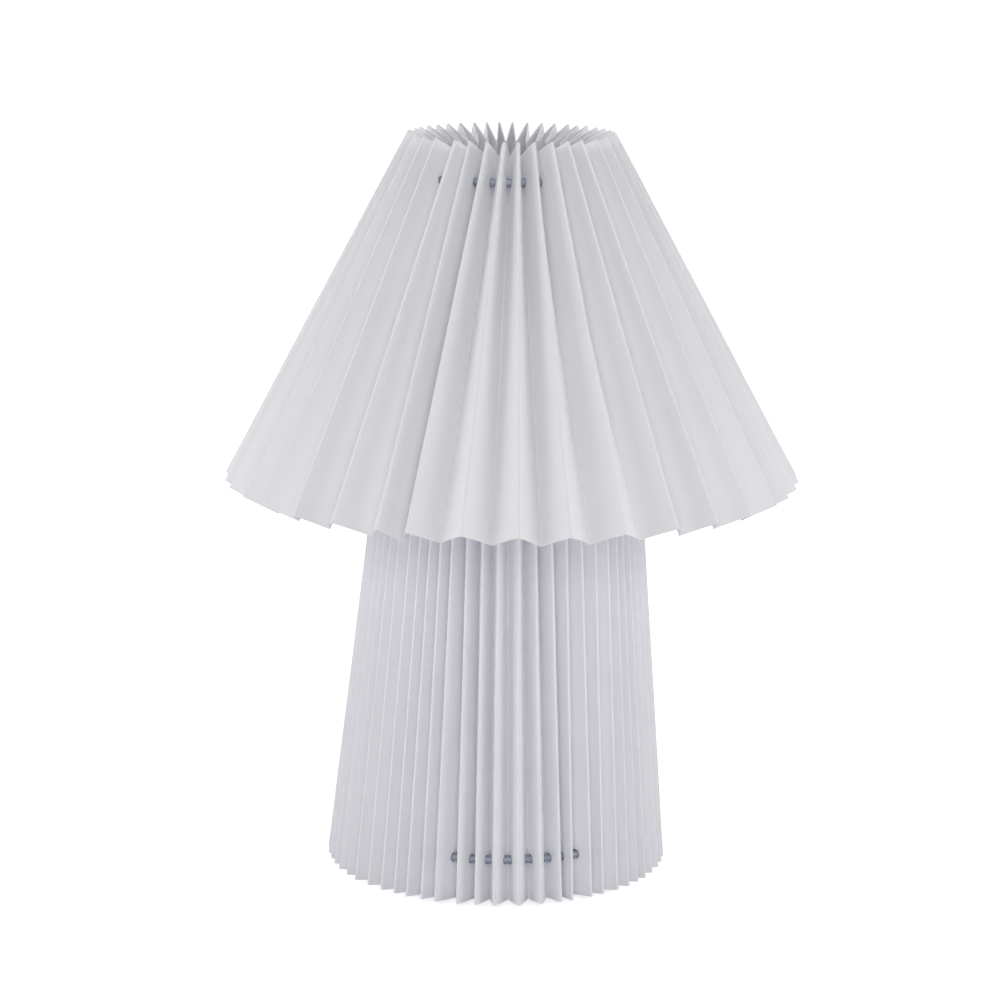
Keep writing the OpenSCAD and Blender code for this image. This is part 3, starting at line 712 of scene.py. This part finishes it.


# Turns of all the folds: the listed ones in front, then an even spread with small strays round the
# back, where the fold over the back arm is held. A third number leans the valley after its fold,
# a positive one to the left; where none is given, the lean is a small random one
def allTurns(s):
    dice = random.Random(s["seed"])
    rows = [list(fold) for fold in s["frontFolds"]]
    footEnd, topEnd = rows[0][0] + 360, rows[0][1] + 360
    back = s["backFold"]
    spare = s["pleats"] - (len(rows) - 1)
    for gaps, footTo, topTo in ((spare // 2, back, back), (spare - spare // 2, footEnd, topEnd)):
        footFrom, topFrom = rows[-1][:2]
        for i in range(1, gaps):
            foot = footFrom + (footTo - footFrom) * i / gaps
            top = topFrom + (topTo - topFrom) * i / gaps
            rows.append([foot + dice.uniform(-1, 1) * s["strayFoot"],
                         top + dice.uniform(-1, 1) * s["strayTop"]])
        rows.append([footTo, topTo])
    for row in rows:
        if len(row) < 3:
            row.append(dice.uniform(-1, 1) * s["lean"])
    swells = [[dice.uniform(-1, 1) * s["swell"] for _ in range(2)] for _ in rows]
    swells[-1] = swells[0]
    return {
        "footTurn": [math.radians(row[0]) for row in rows],
        "topTurn": [math.radians(row[1]) for row in rows],
        "skew": [math.radians(row[2]) for row in rows],
        "footSwell": [swell[0] for swell in swells],
        "topSwell": [swell[1] for swell in swells],
    }


# The holes punched for a ring: a wider copy of the ring cuts them
def ringCutter(node, clearance):
    low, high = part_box(node)
    wireRadius = (high.z - low.z) / 2
    bpy.ops.mesh.primitive_torus_add(
        major_segments=180, minor_segments=20, location=(0, 0, (low.z + high.z) / 2),
        major_radius=(high.x - low.x) / 2 - wireRadius, minor_radius=wireRadius + clearance)
    cutter = bpy.context.object
    cutter.name = node + "Cutter"
    return cutter


# The notch that a cord would leave by: an arch from the floor to round the bush
def notchCutter(width, radius, depth, below=0.01, steps=24):
    low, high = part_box("cable_bush")
    middle = (low.z + high.z) / 2
    half = width / 2
    arch = [(math.cos(math.pi * i / steps) * half, middle + math.sin(math.pi * i / steps) * half)
            for i in range(steps + 1)]
    outline = [(half, -below)] + arch + [(-half, -below)]
    count = len(outline)
    mesh = bpy.data.meshes.new("notchCutter")
    points = [(x, y, z) for y in (radius - depth, radius + depth) for x, z in outline]
    sides = [(i, (i + 1) % count, count + (i + 1) % count, count + i) for i in range(count)]
    mesh.from_pydata(points, [], sides + [tuple(range(count)), tuple(range(count, 2 * count))])
    faceOutwards(mesh)
    cutter = bpy.data.objects.new("notchCutter", mesh)
    scene.collection.objects.link(cutter)
    return cutter


# One pleated wall, given its paper's thickness and punched for its rings
def makeWall(name, s, tree, paint, ringNodes):
    guide = guidePoints(name + "Folds", allTurns(s))
    growShape(guide, tree, {
        "Pleats": s["pleats"], "Cuts": s["cuts"], "Rows": s["rows"],
        "Panel Width": s["panelWidth"], "Foot Radius": s["footRadius"],
        "Top Radius": s["topRadius"], "Fold Length": s["foldLength"],
        "Foot Height": s["footHeight"], "Foot Shift": s["footShift"],
        "Top Shift": s["topShift"], "Foot Valley": s["footValley"],
        "Top Valley": s["topValley"], "Top Tilt": s["topTilt"], "Paper": s["paper"],
        "Fold Width": s["foldWidth"], "Bow": s["bow"], "Flutter": s["flutter"],
        "Seed": s["seed"], "Material": paint,
    })
    skin = guide.modifiers.new("paper", "SOLIDIFY")
    skin.thickness = s["paper"]
    skin.offset = 0
    skin.use_even_offset = True
    cutters = [ringCutter(node, s["holeRoom"]) for node in ringNodes]
    if "notchWidth" in s:
        cutters.append(notchCutter(s["notchWidth"], s["footRadius"], depth=s["panelWidth"] * 1.5))
    for cutter in cutters:
        punch = guide.modifiers.new("punch", "BOOLEAN")
        punch.operation = "DIFFERENCE"
        punch.solver = "EXACT"
        punch.object = cutter
    piece = settle(guide, name, sharpAngle=32)
    for cutter in cutters:
        bpy.data.objects.remove(cutter)
    return piece


pleatTree = makePleatTree(pleatTreeSettings)
print("shape tree made")


shadeSettings = {
    "pleats": 42,
    "cuts": 10,  # faces across a panel
    "rows": 20,  # faces along a fold
    "panelWidth": shadePanelWidth,
    "footRadius": 0.150,
    "topRadius": 0.0535,
    "foldLength": 0.203,
    "footHeight": 0.208,
    "footShift": 0.0047,  # the paper stands a little to the right at the rim
    "topShift": 0.0031,
    "footValley": 0.0,
    "topValley": -0.0011,  # the ring draws the valleys back to the middle
    "topTilt": 0.0006,  # the top edge rises a little towards the back
    "foldWidth": 0.00033,  # half of a pressed fold's width
    "bow": 0.0009,  # how far a panel bulges
    "flutter": 0.0016,
    "lean": 0.4,  # degrees at most, for a valley with no lean of its own
    "swell": 0.0007,  # how far a fold may stand in or out
    "paper": 0.0005,
    "holeRoom": 0.0004,  # round the ring's wire
    "strayFoot": 1.1,  # degrees at most, of a fold round the back
    "strayTop": 1.0,
    "seed": 7,
    "backFold": 171.43,  # over the back arm
    # turn of each outer fold in front, at the rim and at the top, and its valley's lean
    "frontFolds": [
        (-74.5, -77), (-65, -69), (-56, -56), (-45.5, -47, 5), (-36, -32.6, -8), (-26, -24, 0),
        (-20, -14), (-9.5, -4.8), (1, 3), (10.5, 11.3), (21, 21.2), (32, 31.2), (41.5, 39.5),
        (51.5, 51.4), (62, 62.5),
    ],
}
shade = makeWall("shadePleats", shadeSettings, pleatTree, paints["shadePaper"], ["shade_ring"])
addPiece(shade, "shade", "shade_paper", "shade_pleats")

skirtSettings = {
    "pleats": 60,
    "cuts": 8,
    "rows": 16,
    "panelWidth": skirtPanelWidth,
    "footRadius": 0.090,
    "topRadius": 0.068,
    "foldLength": 0.228,
    "footHeight": 0.0025,
    "footShift": -0.0021,
    "topShift": 0.0028,
    "footValley": 0.0021,  # its ring keeps the valleys in the middle, as at the top
    "topValley": -0.001,
    "topTilt": 0.0,
    "foldWidth": 0.00033,
    "bow": 0.0005,
    "flutter": 0.0010,
    "lean": 0.35,
    "swell": 0.0004,
    "paper": 0.0005,
    "holeRoom": 0.0004,
    "strayFoot": 0.5,
    "strayTop": 0.5,
    "seed": 11,
    "notchWidth": 0.011,
    "backFold": 180,
    "frontFolds": [
        (-60, -60), (-54, -55.5), (-47.5, -50), (-41, -43.5), (-35.5, -38), (-30.5, -33),
        (-25, -28), (-20, -23), (-12.5, -17), (-6.5, -10.5), (-0.5, -4), (7.5, 4.5), (15, 11),
        (22, 17.5), (26, 24.5, 3), (33.5, 31.5, 4), (38, 39, 8), (44.5, 46), (50, 51), (55.5, 55.5),
        (60, 60),
    ],
}
skirt = makeWall("skirtPleats", skirtSettings, pleatTree, paints["skirtPaper"],
                 ["upper_ring", "lower_ring"])
addPiece(skirt, "base", "skirt_paper", "base_skirt")


# Plain pale floor; what the camera sees of it is white, and it keeps the lamp's shadow
floorSettings = {
    "radius": 24.0,
    "colour": (0.86, 0.86, 0.88),
    "roughness": 0.9,
    "specular": 0.1,
    "nearLift": 0.62,  # near the lamp, where its shadow falls
    "farLift": 0.96,
    "nearReach": 0.35,
    "farReach": 1.6,
}


def makeFloor(s):
    bpy.ops.mesh.primitive_circle_add(vertices=96, radius=s["radius"], fill_type="NGON")
    floor = bpy.context.object
    floor.name = "floor"
    material, tree, shader = startMaterial("floorPaint", s["colour"])
    shader.inputs["Roughness"].default_value = s["roughness"]
    shader.inputs["Specular IOR Level"].default_value = s["specular"]
    path = tree.nodes.new("ShaderNodeLightPath")
    lift = tree.nodes.new("ShaderNodeEmission")
    reach = vectorCalc(tree, "LENGTH", objectCoordinates(tree), (0, 0, 0))
    level = ramp(tree, reach, s["nearReach"], s["farReach"], s["nearLift"], s["farLift"])
    tree.links.new(calc(tree, "MULTIPLY", path.outputs["Is Camera Ray"], level),
                   lift.inputs["Strength"])
    both = tree.nodes.new("ShaderNodeAddShader")
    tree.links.new(shader.outputs[0], both.inputs[0])
    tree.links.new(lift.outputs[0], both.inputs[1])
    setSurface(tree, both.outputs[0])
    floor.data.materials.append(material)


makeFloor(floorSettings)
print("floor laid")
